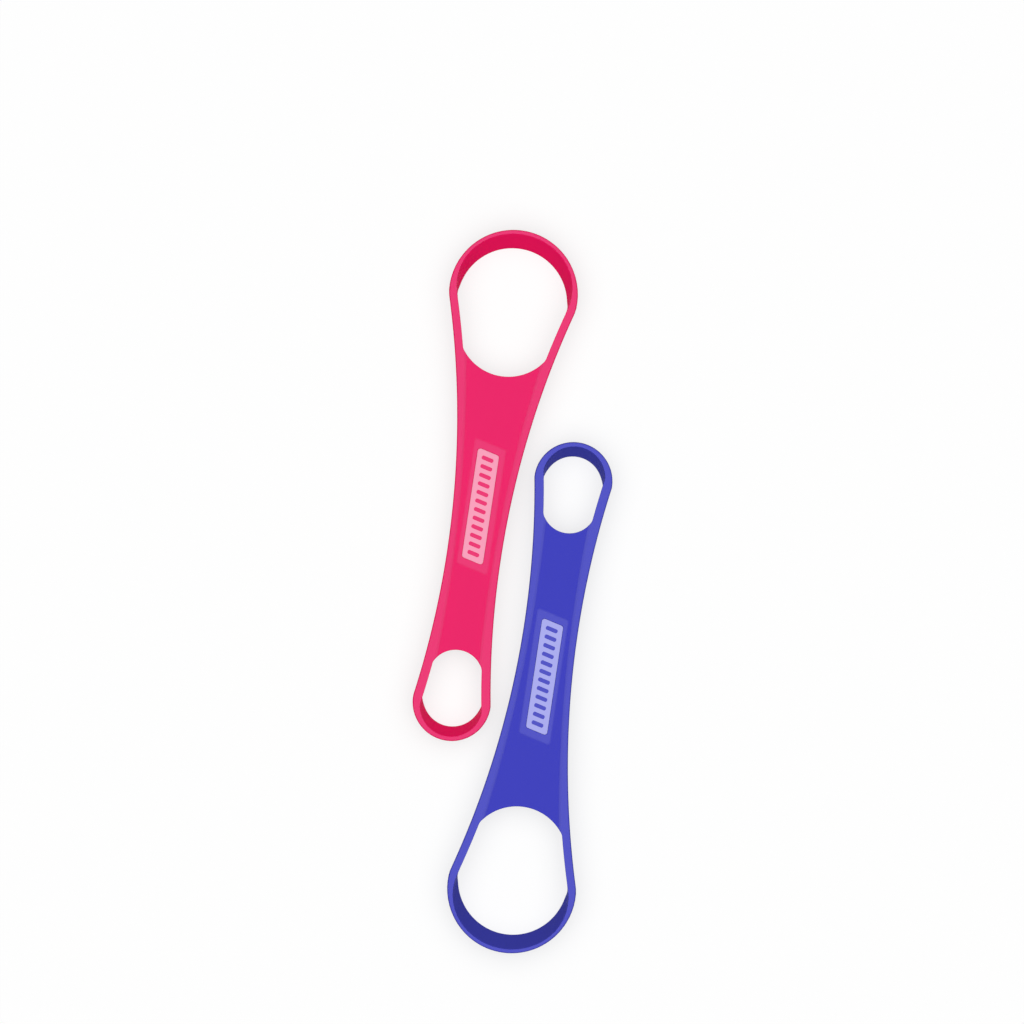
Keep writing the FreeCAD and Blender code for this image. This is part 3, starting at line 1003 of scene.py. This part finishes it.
def pale_floor(colour, bounce):
    """White floor that stays white to the camera, keeps the shadows and throws little light back."""
    finish = Finish("floor_white")
    seen = seen_directly(finish)
    cloud = finish.noise(finish.coordinates(), FLOOR_SCALE, FINE_DETAIL)
    tone = finish.shaded(FLOOR_MARKS * cloud, colour, FLOOR_DARKEST)
    matt = finish.node("ShaderNodeBsdfDiffuse", None, {"Color": finish.blend(seen, (*bounce, 1.0), tone)})
    glow = finish.node("ShaderNodeEmission", None, {"Color": WHITE, "Strength": 1.0})
    return finish.surface("ShaderNodeMixShader", {
        SHADER_SHARE: FLOOR_GLOW * seen, SHADER_FIRST: matt, SHADER_SECOND: glow})


def plastic(colour, settings, plan):
    """The moulded plastic of one scraper, made once for all its pieces."""
    name = f"{colour}_polypropylene"
    made = bpy.data.materials.get(name)
    if made:
        return made
    # Wall and rim tones are painted shade and a painted highlight over the field's own colour
    shade_own_highlight_tones = [getattr(settings.colours, f"{colour}_{place}") for place in ("wall", "field", "rim")]
    return moulded_plastic(name, shade_own_highlight_tones, plan)


# The row of bars on the panel

BAR_INPUTS = {"Count": "Int", "Row": "Float", "Span": "Float", "Width": "Float", "Rise": "Float",
              "Slant": "Float", "Material": "Material"}
BAR_POINTS, BAR_SIDES = 25, 20
# A bar keeps its width nearly to its ends: the higher the power, the blunter they are
END_POWER, END_TAPER = 12.0, 0.96


def bar_tree():
    """Node tree of a row of slanted bars, each a flat rod with rounded ends."""
    tree = bpy.data.node_groups.new("panel_bars", "GeometryNodeTree")
    tree.is_modifier = True
    for name, kind in BAR_INPUTS.items():
        tree.interface.new_socket(name, in_out="INPUT", socket_type=f"NodeSocket{kind}")
    tree.interface.new_socket("Geometry", in_out="OUTPUT", socket_type="NodeSocketGeometry")
    nodes = Nodes(tree)
    count, row, span, width, rise, slant, material = (nodes.node("NodeGroupInput", output=name)
                                                      for name in BAR_INPUTS)
    rod = nodes.node("GeometryNodeCurvePrimitiveLine", None, {
        "Start": nodes.vector(x=-0.5 * span), "End": nodes.vector(x=0.5 * span)})
    rod = nodes.node("GeometryNodeResampleCurve", None, {"Curve": rod, "Count": BAR_POINTS})
    along = nodes.node("GeometryNodeSplineParameter")
    taper = (1.0 - END_TAPER * abs(2.0 * along - 1.0) ** END_POWER) ** 0.5
    section = nodes.node("GeometryNodeCurvePrimitiveCircle", None, {
        "Resolution": BAR_SIDES, "Radius": 0.5 * width})
    bar = nodes.node("GeometryNodeCurveToMesh", None, {
        "Curve": rod, "Profile Curve": section, "Scale": taper, "Fill Caps": True})
    bar = nodes.node("GeometryNodeTransform", None, {
        "Geometry": bar, "Rotation": nodes.vector(z=slant),
        "Scale": nodes.vector(1.0, 1.0, 2.0 * rise / width)})
    line = nodes.node("GeometryNodeMeshLine", {"mode": "END_POINTS"}, {
        "Count": count, "Start Location": nodes.vector(y=-0.5 * row), "Offset": nodes.vector(y=0.5 * row)})
    bars = nodes.node("GeometryNodeInstanceOnPoints", None, {"Points": line, "Instance": bar})
    bars = nodes.node("GeometryNodeRealizeInstances", None, {"Geometry": bars})
    bars = nodes.node("GeometryNodeSetShadeSmooth", None, {"Geometry": bars})
    bars = nodes.node("GeometryNodeSetMaterial", None, {"Geometry": bars, "Material": material})
    nodes.node("NodeGroupOutput", None, {"Geometry": bars})
    return tree


def bar_mesh(tree, plan, bars, material):
    """The row of bars as a plain mesh, laid on the panel of a scraper."""
    holder = add_object("bar_row", bpy.data.meshes.new("bar_row"))
    row = holder.modifiers.new("bars", "NODES")
    row.node_group = tree
    values = {"Count": bars.count, "Row": bars.row, "Span": bars.span, "Width": bars.width,
              "Rise": bars.rise, "Slant": -plan.panel.slant, "Material": material}
    for socket in tree.interface.items_tree:
        if socket.in_out == "INPUT":
            row[socket.identifier] = values[socket.name]
    shaped = holder.evaluated_get(bpy.context.evaluated_depsgraph_get())
    mesh = bpy.data.meshes.new_from_object(shaped)
    bpy.data.objects.remove(holder)
    plate = pocket_plate(plan)
    mesh.transform(Matrix.Translation((plate.middle, (plate.low + plate.high) / 2, plan.panel_top)))
    return mesh


# Stage

def add_floor(stage, colours):
    """A wide floor just below the scraping edges."""
    half, z = stage.floor_side / 2, -stage.floor_drop
    mesh = bpy.data.meshes.new("floor")
    corners = [(-half, -half, z), (half, -half, z), (half, half, z), (-half, half, z)]
    mesh.from_pydata(corners, [], [(0, 1, 2, 3)])
    mesh.materials.append(pale_floor(colours.floor, colours.bounce))
    floor = add_object("floor", mesh)


def add_light(stage):
    """One wide soft light overhead, and even light from all round that looks white to the camera."""
    lamp = bpy.data.lights.new("softbox", "AREA")
    lamp.size = stage.softbox_side
    lamp.energy = stage.softbox_power
    softbox = add_object("softbox", lamp)
    softbox.location.z = stage.softbox_height
    softbox.visible_camera = False
    world = bpy.data.worlds.new("studio")
    world.use_nodes = True
    bpy.context.scene.world = world
    nodes = Nodes(world.node_tree)
    strength = stage.sky + (1.0 - stage.sky) * seen_directly(nodes)
    sky = nodes.node("ShaderNodeBackground", None, {"Color": WHITE, "Strength": strength})
    nodes.node("ShaderNodeOutputWorld", None, {"Surface": sky})


def add_camera(stage):
    """The camera straight above, turned so that the handles lean as they do in the picture."""
    view = bpy.data.cameras.new("camera")
    view.lens = stage.lens
    camera = add_object("camera", view)
    distance = stage.view_width * stage.lens / view.sensor_width
    camera.location = (stage.view_x, stage.view_y, SCRAPER_TOP * MM + distance)
    camera.rotation_euler.z = stage.view_turn
    bpy.context.scene.camera = camera


# Operators

class SCRAPERS_OT_mouldings(Operator):
    """Build the pink and the blue moulding in place of the frame's solids"""
    bl_idname = "scrapers.mouldings"
    bl_label = "Mouldings"

    def execute(self, context):
        settings = context.scene.scraper_pair
        plan = ScraperPlan(settings)
        shape = moulding_mesh(plan)
        for colour in COLOURS:
            add_piece(f"{colour}_moulding", shape.copy(), colour, plastic(colour, settings, plan),
                      f"{colour}_scraper")
        bpy.data.meshes.remove(shape)
        return {"FINISHED"}


class SCRAPERS_OT_panels(Operator):
    """Build the two pale panels and the row of bars on each"""
    bl_idname = "scrapers.panels"
    bl_label = "Panels"

    def execute(self, context):
        settings = context.scene.scraper_pair
        plan = ScraperPlan(settings)
        tree = bar_tree()
        for colour in COLOURS:
            film = panel_film(f"{colour}_film", getattr(settings.colours, f"{colour}_panel"))
            add_piece(f"{colour}_panel", panel_mesh(plan), colour, film, f"{colour}_label")
            ink = plastic(colour, settings, plan)
            add_piece(f"{colour}_panel_bars", bar_mesh(tree, plan, settings.bars, ink), colour, ink)
        return {"FINISHED"}


class SCRAPERS_OT_stage(Operator):
    """Lay the floor and set up the light and the camera"""
    bl_idname = "scrapers.stage"
    bl_label = "Stage"

    def execute(self, context):
        settings = context.scene.scraper_pair
        add_floor(settings.stage, settings.colours)
        add_light(settings.stage)
        add_camera(settings.stage)
        context.scene.view_settings.view_transform = "Standard"
        return {"FINISHED"}


class SCRAPERS_PT_pair(Panel):
    """Lists the steps that build the pair, and its sizes and colours"""
    bl_idname = "SCRAPERS_PT_pair"
    bl_label = "Tongue scraper pair"
    bl_space_type = "VIEW_3D"
    bl_region_type = "UI"
    bl_category = "Scrapers"

    def draw(self, context):
        for step in STEPS:
            self.layout.operator(step.bl_idname)
        for group in PairSettings.__annotations__:
            box = self.layout.box()
            box.label(text=group.capitalize())
            sizes = getattr(context.scene.scraper_pair, group)
            for entry in type(sizes).__annotations__:
                box.prop(sizes, entry)


STEPS = (SCRAPERS_OT_mouldings, SCRAPERS_OT_panels, SCRAPERS_OT_stage)
CLASSES = (LargeLoopSizes, SmallLoopSizes, HandleSizes, PanelSizes, BarSizes, FinishColours, StageSizes,
           PairSettings, *STEPS, SCRAPERS_PT_pair)


def register():
    """Registers the settings, the operators and the panel."""
    for cls in CLASSES:
        bpy.utils.register_class(cls)
    bpy.types.Scene.scraper_pair = PointerProperty(type=PairSettings)


def unregister():
    """Takes the settings, the operators and the panel out again."""
    del bpy.types.Scene.scraper_pair
    for cls in reversed(CLASSES):
        bpy.utils.unregister_class(cls)


def main():
    """Builds the pair and its stage."""
    register()
    bpy.ops.scrapers.mouldings()
    bpy.ops.scrapers.panels()
    bpy.ops.scrapers.stage()


if __name__ == "__main__":
    main()
